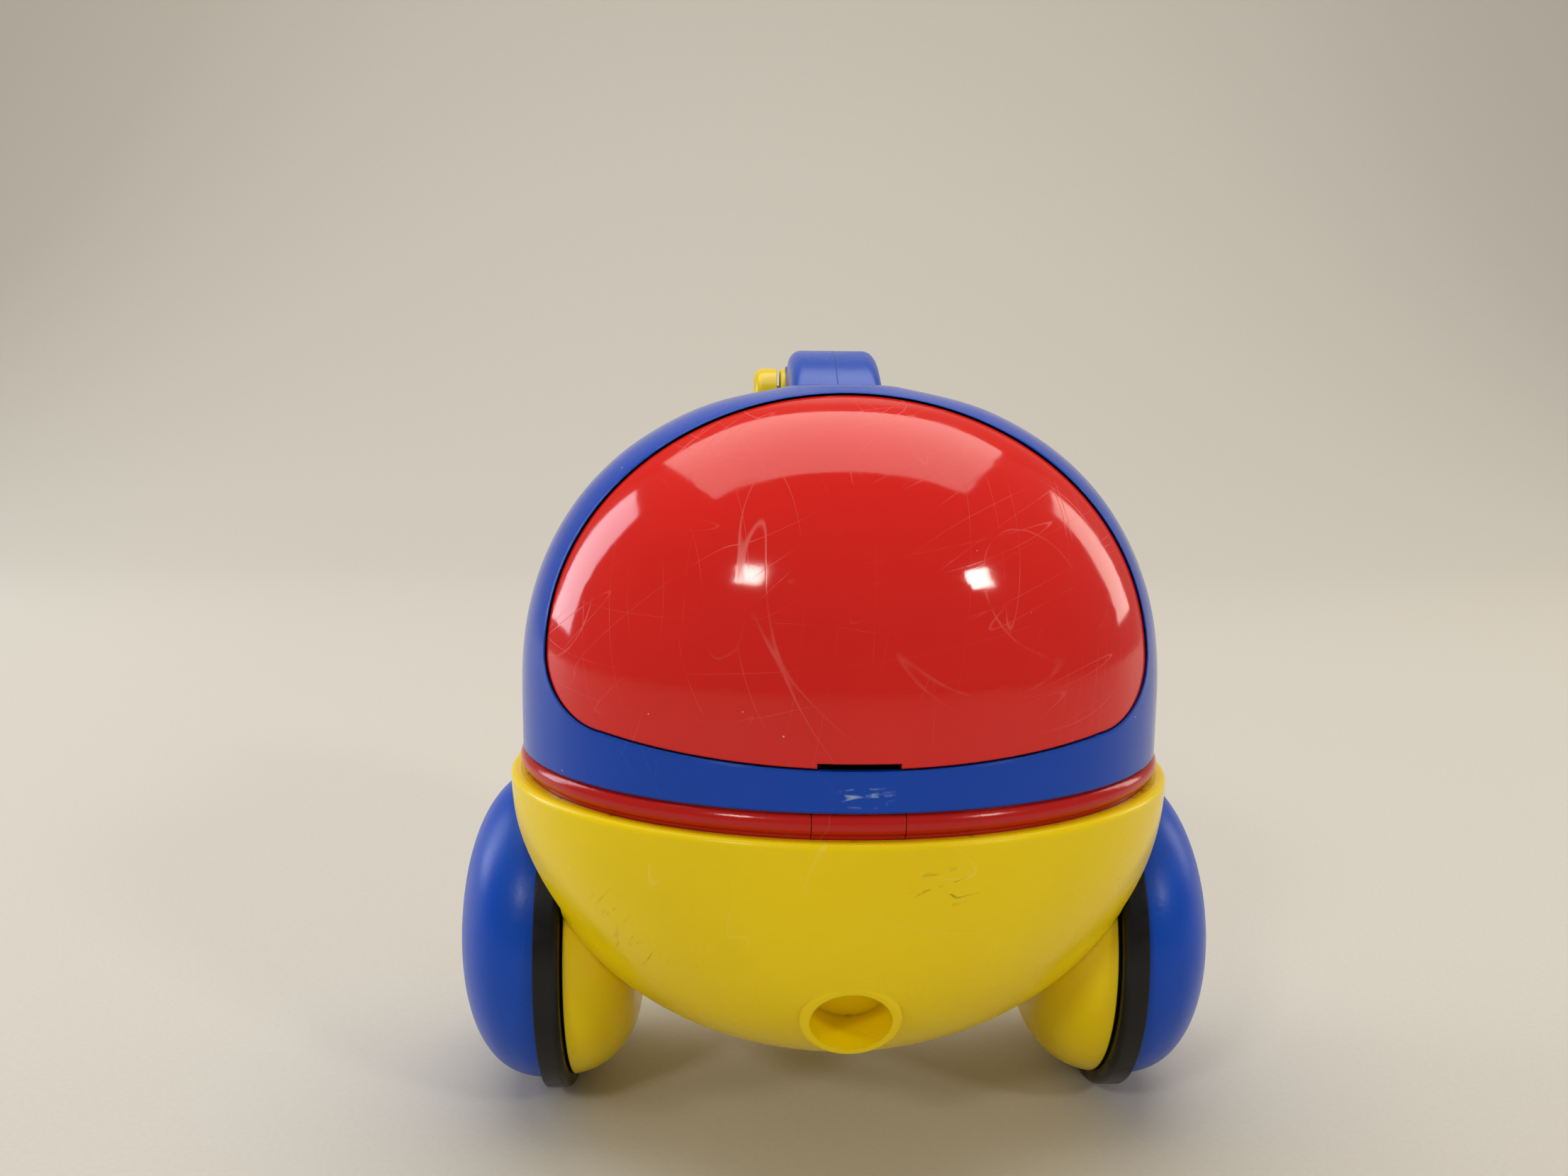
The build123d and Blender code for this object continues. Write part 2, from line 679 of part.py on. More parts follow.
with BuildPart() as casterPin:
    add(Pos(0, casterWheelY, casterWheelRadius) * tube(casterPinRadius, 0, -pinEnd, pinEnd))
save(casterPin, "caster_pin", "gray")

# Handle: two hollow halves that meet at the middle and sit on the shell.
middleReach = handleReach - handleBand / 2
middleRise = handleRise - handleBand / 2
pocketDepth = handleSideX - handleWall


def onBand(angle):
    # A place on the middle line of the handle's band.
    return handleY + middleReach * cos(radians(angle)), handleZ + middleRise * sin(radians(angle))


def handleArc(across, rise, startHeight, endAcross):
    # Part of an ellipse about the handle's centre, from a height to a distance in front.
    start = degrees(asin(startHeight / rise))
    end = degrees(acos(endAcross / across))
    return EllipticalCenterArc((handleY, handleZ), across, rise, start_angle=start, arc_size=end - start)


def handleSketch(inset):
    # The handle seen from the side, less a margin all round.
    innerReach = handleReach - handleBand
    innerRise = handleRise - handleBand
    footTop = innerRise * sin(radians(handleFootAngle)) - inset
    frontFace = handleReach * cos(radians(handleFrontAngle)) + inset
    backFace = innerReach * cos(radians(handleInnerEnd)) - inset
    footY = handleFootY + inset
    with BuildSketch(Plane.YZ) as outline:
        with BuildLine():
            outer = handleArc(
                handleReach - inset, handleRise - inset, handleFootZ + inset - handleZ, frontFace
            )
            inner = handleArc(innerReach + inset, innerRise + inset, footTop, backFace)
            Polyline(outer @ 1, ((outer @ 1).X, handleRootZ), ((inner @ 1).X, handleRootZ), inner @ 1)
            Polyline(inner @ 0, (footY, (inner @ 0).Y), (footY, handleFootZ + inset), outer @ 0)
        make_face()
    return outline.sketch


# What the shell fills, grown by the small gap under the handle.
with BuildSketch(Plane.XZ) as filledSection:
    add(shellSection(-handleFit, wall).sketch)
    with BuildLine():
        middleCurve = superCurve(halfWidth - wall / 2, crownRise - wall / 2, crownPower)
        top = Spline(*[(x, shoulderZ + z) for x, z in middleCurve], tangents=((0, 1), (-1, 0)))
        Polyline(top @ 1, (0, seatZ), (halfWidth - wall / 2, seatZ), top @ 0)
    make_face()
shellFilled = bodyTurned(filledSection.sketch)

handleScrewPlaces = [onBand(angle) for angle in handleScrewAngles]
rearFootEnd = handleY + handleReach - handleFootInset - handleWall
for name, side in sides.items():
    with BuildPart() as half:
        extrude(handleSketch(0), amount=side * handleSideX)
        outerFace = half.faces().sort_by(Axis.X)[0 if side < 0 else -1]
        fillet(outerFace.edges().filter_by(GeomType.ELLIPSE), handleRound)
        with BuildSketch(Plane.YZ):
            with Locations((knobY, knobZ)):
                Circle(knobPadRadius)
        extrude(amount=side * handleSideX)
        extrude(handleSketch(handleWall), amount=pocketDepth, both=True, mode=Mode.SUBTRACT)
        with BuildSketch(Plane.YZ):
            with Locations(*handleScrewPlaces):
                Circle(bossRadius)
        extrude(amount=side * (pocketDepth + handleWall / 2))
        postEnd = crownZ + footBossRise
        footPosts = [column(footBossRadius, side * footScrewX, frontFootScrewY, shoulderZ, postEnd)]
        footPosts.append(
            Pos(side * footScrewX, bodyY, rearFootScrewZ) * Rot(-90, 0, 0)
            * Cylinder(footBossRadius, rearFootEnd - bodyY, align=(Align.CENTER, Align.CENTER, Align.MIN),
                       mode=Mode.PRIVATE)
        )
        for post in footPosts:
            add(post)
        add(shellFilled, mode=Mode.SUBTRACT)
        add(column(screwRadius, side * footScrewX, frontFootScrewY, 0, crownZ + footBossRise - wall / 2),
            mode=Mode.SUBTRACT)
        with BuildSketch(Plane.XZ.offset(-bodyY)):
            with Locations((side * footScrewX, rearFootScrewZ)):
                Circle(screwRadius)
        extrude(amount=bodyY - rearFootEnd + wall / 2, mode=Mode.SUBTRACT)
        with BuildSketch(Plane.YZ):
            with Locations(*handleScrewPlaces):
                Circle(screwRadius if side < 0 else screwRadius + screwGap)
        extrude(amount=side * (handleSideX if side > 0 else pocketDepth), mode=Mode.SUBTRACT)
        if side > 0:
            with BuildSketch(Plane.YZ.offset(handleSideX)):
                with Locations(*handleScrewPlaces):
                    Circle(screwHeadRadius + screwGap)
            extrude(amount=-screwHeadHeight - screwGap, mode=Mode.SUBTRACT)
        else:
            with BuildSketch(Plane.YZ):
                with Locations((knobY, knobZ)):
                    Circle(knobShaftRadius + runningGap)
            extrude(amount=-large, mode=Mode.SUBTRACT)
    save(half, f"handle_{name}", "blue")

with BuildPart() as handleScrews:
    for y, z in handleScrewPlaces:
        add(Pos(handleSideX - screwHeadHeight - screwGap, y, z) * Rot(0, -90, 0) * screw(handleScrewLength))
save(handleScrews, "handle_screws", "gray")

# Screws from inside the shell into the handle's feet.
frontFootSeat = shoulderZ + (crownRise - wall) * (
    1 - (((frontFootScrewY - bodyY) ** 2 + footScrewX ** 2) ** 0.5 / (halfWidth - wall)) ** crownPower
) ** (1 / crownPower) - footSeatDrop
rearFootSeat = bodyY + ((halfWidth - wall) ** 2 - footScrewX ** 2) ** 0.5 - footSeatDrop
with BuildPart() as footScrews:
    for side in sides.values():
        add(Pos(side * footScrewX, frontFootScrewY, frontFootSeat) * screw(frontFootScrewLength))
        rearSeat = Pos(side * footScrewX, rearFootSeat, rearFootScrewZ)
        add(rearSeat * Rot(-90, 0, 0) * screw(rearFootScrewLength))
save(footScrews, "foot_screws", "gray")

# Knob on the handle's left side: a fixed flange, the turning knob on its shaft, and its clip.
knobBaseX = -handleSideX - knobBaseThickness
knobStartX = knobBaseX - knobGap
knobEndX = knobStartX - knobThickness
knobGrooveX = -pocketDepth + casterGap
knobCentre = Pos(0, knobY, knobZ)
with BuildPart() as knobBase:
    add(knobCentre * tube(knobRadius, knobShaftRadius + runningGap, knobBaseX, -handleSideX))
    fillet(knobBase.edges().filter_by(GeomType.CIRCLE).group_by(Axis.X)[0].sort_by(SortBy.LENGTH)[-1],
           knobBaseThickness / 2)
save(knobBase, "knob_base", "yellow")

with BuildPart() as knob:
    add(knobCentre * tube(knobRadius, 0, knobEndX, knobStartX))
    fillet(knob.edges().filter_by(GeomType.CIRCLE).sort_by(Axis.X)[0], knobRound)
    add(knobCentre * tube(knobNeckRadius, 0, knobStartX, knobBaseX - casterGap))
    add(knobCentre * tube(knobShaftRadius, 0, knobBaseX - casterGap, -pocketDepth + knobShaftEnd))
    add(
        knobCentre * tube(knobNeckRadius, knobShaftRadius - clipBite, knobGrooveX, knobGrooveX + clipWall),
        mode=Mode.SUBTRACT,
    )
    with BuildSketch(Plane.YZ.offset(knobEndX)):
        with Locations((knobY, knobZ + knobDimpleOut)):
            Circle(knobDimpleRadius)
    extrude(amount=knobDimpleDepth, mode=Mode.SUBTRACT)
save(knob, "knob", "yellow")

with BuildPart() as knobClip:
    add(knobCentre * tube(
        knobShaftRadius + clipReach, knobShaftRadius - clipBite, knobGrooveX, knobGrooveX + clipWall
    ))
save(knobClip, "knob_clip", "gray")
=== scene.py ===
# Push-along toy: finishes, floor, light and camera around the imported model. Metres.
import math
import bpy
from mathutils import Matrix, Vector

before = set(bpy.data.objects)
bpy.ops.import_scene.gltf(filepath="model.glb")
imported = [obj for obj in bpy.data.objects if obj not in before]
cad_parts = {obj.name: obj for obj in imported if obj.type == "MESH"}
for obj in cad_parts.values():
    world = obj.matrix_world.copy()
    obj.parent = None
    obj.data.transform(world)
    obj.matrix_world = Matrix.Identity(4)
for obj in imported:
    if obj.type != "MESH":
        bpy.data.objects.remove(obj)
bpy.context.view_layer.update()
mm = 0.001


def linearColour(code):
    # sRGB hex to the linear values that shaders take
    parts = [int(code[i:i + 2], 16) / 255 for i in (1, 3, 5)]
    return [p / 12.92 if p <= 0.04045 else ((p + 0.055) / 1.055) ** 2.4 for p in parts] + [1.0]


def addNode(tree, kind, settings=None, links=None):
    # settings are the node's own options or its sockets' values, links are sources by socket
    node = tree.nodes.new("ShaderNode" + kind)
    for key, value in (settings or {}).items():
        if isinstance(key, str) and hasattr(node, key):
            setattr(node, key, value)
        else:
            node.inputs[key].default_value = value
    for socket, source in (links or {}).items():
        tree.links.new(source, node.inputs[socket])
    return node


def startMaterial(name):
    material = bpy.data.materials.new(name)
    material.use_nodes = True
    material.node_tree.nodes.clear()
    tree = material.node_tree
    place = addNode(tree, "TexCoord").outputs["Object"]
    return material, tree, place


def hairlines(tree, place, turn, spacing, length, width):
    # Thin, nearly straight lines: a noise that changes mostly one way, where it passes its middle value
    along = addNode(
        tree, "Mapping", {"vector_type": "TEXTURE", "Rotation": turn, "Scale": (spacing, length, length)},
        {"Vector": place},
    )
    noise = addNode(tree, "TexNoise", {"Scale": 1.0, "Detail": 0.0}, {"Vector": along.outputs[0]})
    offset = addNode(tree, "Math", {"operation": "SUBTRACT", 1: 0.5}, {0: noise.outputs[0]})
    away = addNode(tree, "Math", {"operation": "ABSOLUTE"}, {0: offset.outputs[0]})
    line = addNode(
        tree, "MapRange", {"From Max": width / spacing, "To Min": 1.0, "To Max": 0.0},
        {"Value": away.outputs[0]},
    )
    return line.outputs[0]


def patches(tree, place, size, start, end):
    # Soft islands, 0 below start and 1 above end of a noise
    noise = addNode(tree, "TexNoise", {"Scale": 1 / size, "Detail": 3.0}, {"Vector": place})
    island = addNode(tree, "MapRange", {"From Min": start, "From Max": end}, {"Value": noise.outputs[0]})
    return island.outputs[0]


def specks(tree, place, spacing, radius, share):
    # Round dots in a share of the cells, soft from half their radius
    cells = addNode(tree, "TexVoronoi", {"Scale": 1 / spacing}, {"Vector": place})
    dot = addNode(
        tree, "MapRange",
        {"From Min": 0.5 * radius / spacing, "From Max": radius / spacing, "To Min": 1.0, "To Max": 0.0},
        {"Value": cells.outputs["Distance"]},
    )
    chance = addNode(tree, "SeparateColor", None, {"Color": cells.outputs["Color"]})
    kept = addNode(tree, "Math", {"operation": "LESS_THAN", 1: share}, {0: chance.outputs[0]})
    dots = addNode(tree, "Math", {"operation": "MULTIPLY"}, {0: dot.outputs[0], 1: kept.outputs[0]})
    return dots.outputs[0]


def nearPoint(tree, place, centre, reach):
    # 1 round a point, fading to 0 at its reach along each axis
    shifted = addNode(
        tree, "Mapping", {"vector_type": "TEXTURE", "Location": centre, "Scale": reach}, {"Vector": place}
    )
    distance = addNode(tree, "VectorMath", {"operation": "LENGTH"}, {0: shifted.outputs[0]})
    near = addNode(
        tree, "MapRange", {"From Min": 0.35, "From Max": 1.0, "To Min": 1.0, "To Max": 0.0},
        {"Value": distance.outputs["Value"]},
    )
    return near.outputs[0]


# Injection-moulded ABS: an even, saturated colour under a hard gloss that handling has scratched.
# It keeps a slight ripple from the mould's polish, hairline scratches in patches, dust, and dirt with
# painted shade in its seams. Sizes, reaches and depths are in mm.
plainAbs = {
    "ior": 1.54, "sheen": 0.32, "gloss": 0.14, "dulled": 0.1, "cloudSize": 28, "handledSize": 16,
    "scratchLayers": 2, "scratchSpacing": 8, "scratchLength": 90, "scratchWidth": 0.03,
    "scratchPale": 0.14, "scratchDepth": 0.006, "scratchRough": 0.35, "scuff": "#d9d4c8",
    "wornSize": 24, "wornFrom": 0.5, "wornFade": 0.14, "breakSize": 3,
    "dust": "#d8cfc0", "dustSpacing": 4.0, "dustRadius": 0.22, "dustShare": 0.1, "dustRough": 0.5,
    # Seam colour and strengths: painted shade in every crevice, with real dirt in crumb patches
    "dirtAndShade": "#1d130d", "seamReach": 2.2, "seamShadeAndDirt": 0.35, "crumbSize": 4.5, "crumbShadeAndDirt": 0.95,
    "dirtAndShadeRough": 0.6, "edgeRound": 0.5, "rippleSize": 30, "rippleDepth": 0.05,
    "grainSize": 0.9, "grainDepth": 0.003, "marks": [],
}
scratchTurns = [(0.3, 0.2, 0.5), (1.1, 0.4, 2.0), (0.2, 1.3, 1.1), (0.7, -0.9, 2.7)]  # one for each layer


def mouldedAbs(name, look):
    material, tree, place = startMaterial(name)

    cloud = addNode(
        tree, "TexNoise", {"Scale": 1 / (look["cloudSize"] * mm), "Detail": 4.0}, {"Vector": place}
    )
    colour = addNode(
        tree, "Mix", {"data_type": "RGBA", 6: linearColour(look["colour"]), 7: linearColour(look["deep"])},
        {0: cloud.outputs[0]},
    ).outputs[2]

    worn = patches(
        tree, place, look["wornSize"] * mm, start=look["wornFrom"], end=look["wornFrom"] + look["wornFade"]
    )
    marks = None
    for turn in scratchTurns[: look["scratchLayers"]]:
        lines = hairlines(
            tree, place, turn, look["scratchSpacing"] * mm, look["scratchLength"] * mm,
            look["scratchWidth"] * mm,
        )
        if marks is None:
            marks = lines
        else:
            marks = addNode(tree, "Math", {"operation": "MAXIMUM"}, {0: marks, 1: lines}).outputs[0]
    scratched = addNode(tree, "Math", {"operation": "MULTIPLY"}, {0: marks, 1: worn}).outputs[0]

    # A scratch scatters light, so it is a little paler than the gloss round it
    pale = addNode(tree, "Math", {"operation": "MULTIPLY", 1: look["scratchPale"]}, {0: scratched})
    colour = addNode(
        tree, "Mix", {"data_type": "RGBA", 7: linearColour(look["scuff"])}, {0: pale.outputs[0], 6: colour}
    ).outputs[2]

    for mark in look["marks"]:
        near = nearPoint(tree, place, [v * mm for v in mark["centre"]], [v * mm for v in mark["reach"]])
        streaks = hairlines(
            tree, place, mark["turn"], mark["spacing"] * mm, mark["length"] * mm, mark["width"] * mm
        )
        broken = patches(tree, place, look["breakSize"] * mm, start=0.46, end=0.6)
        inside = addNode(tree, "Math", {"operation": "MULTIPLY"}, {0: near, 1: streaks})
        seen = addNode(tree, "Math", {"operation": "MULTIPLY"}, {0: inside.outputs[0], 1: broken})
        colour = addNode(
            tree, "Mix", {"data_type": "RGBA", 7: linearColour(mark["colour"])},
            {0: seen.outputs[0], 6: colour},
        ).outputs[2]

    dust = specks(tree, place, look["dustSpacing"] * mm, look["dustRadius"] * mm, look["dustShare"])
    colour = addNode(
        tree, "Mix", {"data_type": "RGBA", 7: linearColour(look["dust"])}, {0: dust, 6: colour}
    ).outputs[2]

    # Painted shade and dirt where two pieces meet: occlusion darkens every crevice, most in crumb patches
    seam = addNode(tree, "AmbientOcclusion", {"samples": 6, "Distance": look["seamReach"] * mm})
    shadedSeam = addNode(
        tree, "MapRange", {"From Min": 0.25, "From Max": 0.62, "To Min": 1.0, "To Max": 0.0},
        {"Value": seam.outputs["AO"]},
    )
    crumbs = patches(tree, place, look["crumbSize"] * mm, start=0.56, end=0.66)
    crumbsHeld = addNode(
        tree, "MapRange", {"To Min": look["seamShadeAndDirt"], "To Max": look["crumbShadeAndDirt"]}, {"Value": crumbs}
    )
    dirtAndShade = addNode(
        tree, "Math", {"operation": "MULTIPLY"}, {0: shadedSeam.outputs[0], 1: crumbsHeld.outputs[0]}
    ).outputs[0]
    colour = addNode(
        tree, "Mix", {"data_type": "RGBA", 7: linearColour(look["dirtAndShade"])}, {0: dirtAndShade, 6: colour}
    ).outputs[2]

    # Roughness: the polish, duller in handled patches, along scratches, under dust and the seam dirt and
    # painted shade
    handled = patches(tree, place, look["handledSize"] * mm, start=0.4, end=0.75)
    polish = addNode(
        tree, "MapRange", {"To Min": look["gloss"], "To Max": look["gloss"] + look["dulled"]},
        {"Value": handled},
    )
    roughness = polish.outputs[0]
    for mask, added in (
        (scratched, look["scratchRough"]), (dust, look["dustRough"]), (dirtAndShade, look["dirtAndShadeRough"])
    ):
        roughness = addNode(
            tree, "Math", {"operation": "MULTIPLY_ADD", 1: added, "use_clamp": True}, {0: mask, 2: roughness}
        ).outputs[0]

    # Heights: mould ripple, the fine grain of its skin, and scratches cut in
    edge = addNode(tree, "Bevel", {"samples": 4, "Radius": look["edgeRound"] * mm})
    ripple = addNode(
        tree, "TexNoise", {"Scale": 1 / (look["rippleSize"] * mm), "Detail": 1.0}, {"Vector": place}
    )
    rippled = addNode(
        tree, "Bump", {"Distance": look["rippleDepth"] * mm},
        {"Height": ripple.outputs[0], "Normal": edge.outputs[0]},
    )
    grain = addNode(
        tree, "TexNoise", {"Scale": 1 / (look["grainSize"] * mm), "Detail": 2.0}, {"Vector": place}
    )
    grained = addNode(
        tree, "Bump", {"Distance": look["grainDepth"] * mm},
        {"Height": grain.outputs[0], "Normal": rippled.outputs[0]},
    )
    cut = addNode(
        tree, "Bump", {"Distance": look["scratchDepth"] * mm, "invert": True},
        {"Height": scratched, "Normal": grained.outputs[0]},
    )
    shader = addNode(
        tree, "BsdfPrincipled", {"IOR": look["ior"], "Specular IOR Level": look["sheen"]},
        {"Base Color": colour, "Roughness": roughness, "Normal": cut.outputs[0]},
    )
    addNode(tree, "OutputMaterial", None, {"Surface": shader.outputs[0]})
    return material


# The dome takes the most polish and shows every scratch
redDome = dict(
    plainAbs, colour="#e4221a", deep="#d81a12", sheen=0.36, gloss=0.06, dulled=0.05, scratchLayers=4,
    scratchSpacing=7, scratchLength=80, scratchPale=0.2, scuff="#f0a096", wornFrom=0.47, dustShare=0.16,
    seamShadeAndDirt=0.5,
)
redTrim = dict(plainAbs, colour="#c81a14", deep="#b4120e", gloss=0.12, seamReach=1.4, seamShadeAndDirt=0.25)

blueScuff = {
    "centre": (1, -86, 99), "reach": (8, 12, 3), "turn": (0.2, 1.45, 0.3), "spacing": 1.6, "length": 9,
    "width": 0.16, "colour": "#9db9dd",
}
blueShell = dict(
    plainAbs, colour="#0048c0", deep="#0040b0", sheen=0.24, gloss=0.15, edgeRound=0.9, scuff="#8fb0e0",
    marks=[blueScuff],
)
blueHandle = dict(plainAbs, colour="#004cbc", deep="#0044ae", gloss=0.24, scuff="#8fb0e0", seamShadeAndDirt=0.2)
# The wheels' mould wasn't polished, so a fine pebble shows on them
blueWheel = dict(
    plainAbs, colour="#004cc2", deep="#0044b4", sheen=0.24, gloss=0.3, dulled=0.12, grainSize=1.3,
    grainDepth=0.03, scuff="#86a8dc",
)

hullScuffs = [
    {"centre": (-50, -55, 70), "reach": (9, 16, 9), "turn": (0.4, 0.5, 0.2), "spacing": 2.2, "length": 16,
     "width": 0.2, "colour": "#b0560c"},
    {"centre": (-58, -50, 77), "reach": (8, 14, 7), "turn": (0.6, 0.9, 0.2), "spacing": 2.4, "length": 20,
     "width": 0.12, "colour": "#8a6410"},
    {"centre": (-44, -60, 60), "reach": (10, 14, 8), "turn": (0.1, 0.3, 0.4), "spacing": 3.0, "length": 14,
     "width": 0.12, "colour": "#9a7a08"},
    {"centre": (18, -80, 80), "reach": (9, 14, 5), "turn": (0.2, 1.3, 0.1), "spacing": 2.4, "length": 10,
     "width": 0.1, "colour": "#8d7407"},
]
yellowHull = dict(
    plainAbs, colour="#ffe000", deep="#f2d200", sheen=0.22, gloss=0.2, dulled=0.14, scuff="#fff3a0",
    scratchPale=0.22, dustShare=0.05, marks=hullScuffs,
)
yellowKnob = dict(plainAbs, colour="#f0d200", deep="#e2c200", gloss=0.2, scuff="#fff3a0", seamShadeAndDirt=0.2)


# Moulded plasticised PVC: a deep black with a waxy satin sheen, greyed by floor dust
tyrePvc = {
    "colour": "#040404", "dusty": "#12110f", "dustySize": 7, "lint": "#8d877c", "lintSpacing": 3.2,
    "lintRadius": 0.2, "lintShare": 0.1, "gloss": 0.3, "dulled": 0.52, "flowSize": 1.1, "flowDepth": 0.02,
    "edgeRound": 0.5, "ior": 1.53, "sheen": 0.3,
}


def satinPvc(name, look):
    material, tree, place = startMaterial(name)
    dusty = patches(tree, place, look["dustySize"] * mm, start=0.46, end=0.8)
    colour = addNode(
        tree, "Mix", {"data_type": "RGBA", 6: linearColour(look["colour"]), 7: linearColour(look["dusty"])},
        {0: dusty},
    )
    lint = specks(tree, place, look["lintSpacing"] * mm, look["lintRadius"] * mm, look["lintShare"])
    linted = addNode(
        tree, "Mix", {"data_type": "RGBA", 7: linearColour(look["lint"])}, {0: lint, 6: colour.outputs[2]}
    )
    satin = addNode(tree, "MapRange", {"To Min": look["gloss"], "To Max": look["dulled"]}, {"Value": dusty})
    flow = addNode(tree, "TexNoise", {"Scale": 1 / (look["flowSize"] * mm), "Detail": 4.0}, {"Vector": place})
    edge = addNode(tree, "Bevel", {"samples": 4, "Radius": look["edgeRound"] * mm})
    bump = addNode(
        tree, "Bump", {"Distance": look["flowDepth"] * mm},
        {"Height": flow.outputs[0], "Normal": edge.outputs[0]},
    )
    shader = addNode(
        tree, "BsdfPrincipled", {"IOR": look["ior"], "Specular IOR Level": look["sheen"]},
        {"Base Color": linted.outputs[2], "Roughness": satin.outputs[0], "Normal": bump.outputs[0]},
    )
    addNode(tree, "OutputMaterial", None, {"Surface": shader.outputs[0]})
    return material


# Steel with a bright finish: the reflections carry lines along the way it was drawn or turned.
# Line scales are in mm along each axis.
screwSteel = {
    "colour": "#a9aaa6", "lineScale": (0.3, 0.3, 0.3), "gloss": 0.3, "dulled": 0.22, "lineDepth": 0.004,
    "stain": "#6c6860", "stainSize": 5,
}
rodSteel = dict(screwSteel, colour="#b3b3b0", lineScale=(20, 0.15, 0.15), gloss=0.2)


def brightSteel(name, look):
    material, tree, place = startMaterial(name)
    along = addNode(
        tree, "Mapping", {"vector_type": "TEXTURE", "Scale": [v * mm for v in look["lineScale"]]},
        {"Vector": place},
    )
    lines = addNode(tree, "TexNoise", {"Scale": 1.0, "Detail": 6.0}, {"Vector": along.outputs[0]})
    stain = patches(tree, place, look["stainSize"] * mm, start=0.5, end=0.8)
    tint = addNode(
        tree, "Mix", {"data_type": "RGBA", 6: linearColour(look["colour"]), 7: linearColour(look["stain"])},
        {0: stain},
    )
    dull = addNode(
        tree, "MapRange", {"To Min": look["gloss"], "To Max": look["gloss"] + look["dulled"]},
        {"Value": lines.outputs[0]},
    )
    bump = addNode(tree, "Bump", {"Distance": look["lineDepth"] * mm}, {"Height": lines.outputs[0]})
    shader = addNode(
        tree, "BsdfPrincipled", {"Metallic": 1.0},
        {"Base Color": tint.outputs[2], "Roughness": dull.outputs[0], "Normal": bump.outputs[0]},
    )
    addNode(tree, "OutputMaterial", None, {"Surface": shader.outputs[0]})
    return material


# Sand-cast iron, left raw: dark grey, grainy from the sand, with a little rust
weightIron = {
    "colour": "#3a3a3c", "rust": "#5a3a28", "rustSize": 4, "sandSize": 0.6, "sandDepth": 0.12,
    "smoothest": 0.55, "roughest": 0.85, "metallic": 0.8,
}


def rawIron(name, look):
    material, tree, place = startMaterial(name)
    rusty = patches(tree, place, look["rustSize"] * mm, start=0.5, end=0.72)
    colour = addNode(
        tree, "Mix", {"data_type": "RGBA", 6: linearColour(look["colour"]), 7: linearColour(look["rust"])},
        {0: rusty},
    )
    sand = addNode(tree, "TexNoise", {"Scale": 1 / (look["sandSize"] * mm), "Detail": 5.0}, {"Vector": place})
    rough = addNode(
        tree, "MapRange", {"To Min": look["smoothest"], "To Max": look["roughest"]},
        {"Value": sand.outputs[0]},
    )
    bump = addNode(tree, "Bump", {"Distance": look["sandDepth"] * mm}, {"Height": sand.outputs[0]})
    shader = addNode(
        tree, "BsdfPrincipled", {"Metallic": look["metallic"]},
        {"Base Color": colour.outputs[2], "Roughness": rough.outputs[0], "Normal": bump.outputs[0]},
    )
    addNode(tree, "OutputMaterial", None, {"Surface": shader.outputs[0]})
    return material


# Moulded acetal: slippery, milky white, slightly see-through at thin edges, with grey wear marks
bearingAcetal = {
    "colour": "#e9e6dd", "worn": "#b9b4a8", "wornSize": 3, "gloss": 0.28, "dulled": 0.45,
    "skinSize": 0.8, "skinDepth": 0.01, "ior": 1.48, "milk": 0.15, "milkReach": 1.5,
}


def milkyAcetal(name, look):
    material, tree, place = startMaterial(name)
    greyed = patches(tree, place, look["wornSize"] * mm, start=0.5, end=0.8)
    colour = addNode(
        tree, "Mix", {"data_type": "RGBA", 6: linearColour(look["colour"]), 7: linearColour(look["worn"])},
        {0: greyed},
    )
    slick = addNode(tree, "MapRange", {"To Min": look["gloss"], "To Max": look["dulled"]}, {"Value": greyed})
    skin = addNode(tree, "TexNoise", {"Scale": 1 / (look["skinSize"] * mm), "Detail": 3.0}, {"Vector": place})
    bump = addNode(tree, "Bump", {"Distance": look["skinDepth"] * mm}, {"Height": skin.outputs[0]})
    shader = addNode(
        tree, "BsdfPrincipled",
        {"IOR": look["ior"], "Subsurface Weight": look["milk"], "Subsurface Scale": look["milkReach"] * mm},
        {"Base Color": colour.outputs[2], "Roughness": slick.outputs[0], "Normal": bump.outputs[0]},
    )
    addNode(tree, "OutputMaterial", None, {"Surface": shader.outputs[0]})
    return material


# Each finish: its maker, its look and the pieces that have it
finishes = {
    "polishedAbsRed": (mouldedAbs, redDome, ["dome"]),
    "mouldedAbsRed": (mouldedAbs, redTrim, ["trim_ring", "front_clip"]),
    "polishedAbsBlue": (mouldedAbs, blueShell, ["upper_shell"]),
    "mouldedAbsBlue": (mouldedAbs, blueHandle, ["handle_left", "handle_right", "caster_fork"]),
    "pebbledAbsBlue": (
        mouldedAbs, blueWheel, ["wheel_left", "wheel_right", "wheel_plate_left", "wheel_plate_right"]
    ),
    "mouldedAbsYellow": (mouldedAbs, yellowHull, ["hull"]),
    "glossAbsYellow": (mouldedAbs, yellowKnob, ["knob", "knob_base"]),
    "mouldedPvcBlack": (satinPvc, tyrePvc, ["tyre_left", "tyre_right", "caster_wheel"]),
    "zincPlatedSteel": (
        brightSteel, screwSteel,
        ["handle_screws", "foot_screws", "body_screws", "weight_screws", "reed_screw"],
    ),
    "drawnSteel": (brightSteel, rodSteel, ["axle", "caster_pin", "knob_clip", "caster_clip"]),
    "sandCastIron": (rawIron, weightIron, ["balance_weight"]),
    "mouldedAcetalWhite": (
        milkyAcetal, bearingAcetal, ["bush_left", "bush_right", "click_reed", "click_wheel"]
    ),
}
finished = set()
for name, (makeMaterial, look, nodes) in finishes.items():
    material = makeMaterial(name, look)
    for node in nodes:
        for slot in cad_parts[node].material_slots:
            slot.material = material
        finished.add(node)
print("finishes:", len(finishes), "materials, without one:", sorted(set(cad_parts) - finished))


